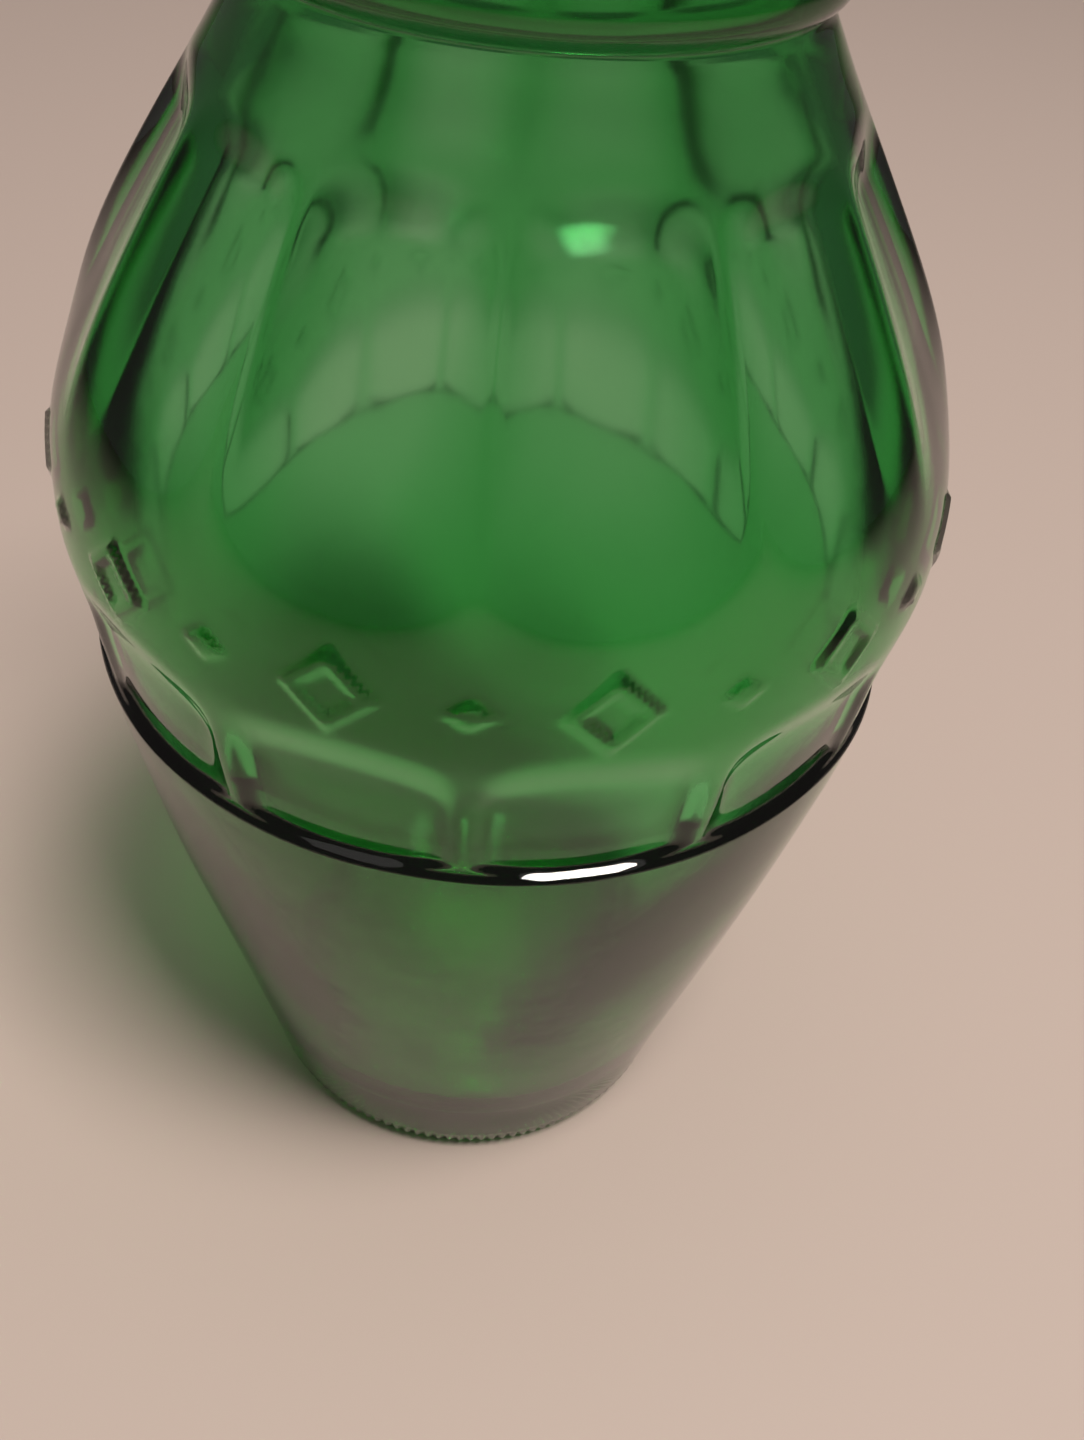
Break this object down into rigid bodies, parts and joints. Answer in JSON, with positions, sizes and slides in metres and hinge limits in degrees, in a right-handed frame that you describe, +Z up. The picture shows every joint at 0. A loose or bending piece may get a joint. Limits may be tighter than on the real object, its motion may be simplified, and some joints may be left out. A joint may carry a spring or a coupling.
{
  "type": "glass soda bottle",
  "caption": "Glass soda bottle that widens to a bulge, with a fluted shoulder, panels below a band of lozenges, a neck ring and a lift-off crown.",
  "frame": {"origin": "centre of the ring that the bottle stands on, in the plane of the table", "axes": "+Z up the bottle's axis, towards the mouth; a ridge between two flutes faces -Y"},
  "size_m": [0.0726, 0.0726, 0.1673],
  "materials": {
    "green_glass": "fire-polished, green",
    "crown_metal": "bright tinplate",
    "liner_plastic": "moulded"
  },
  "bodies": {
    "glass_bottle": {"bottle": "green_glass"},
    "crown": {"crown_shell": "crown_metal", "crown_liner": "liner_plastic"}
  },
  "joints": [
    {"name": "crown_lift", "type": "slide", "parent": "glass_bottle", "child": "crown", "axis": [0, 0, 1], "range_m": [0, 0.04]}
  ]
}
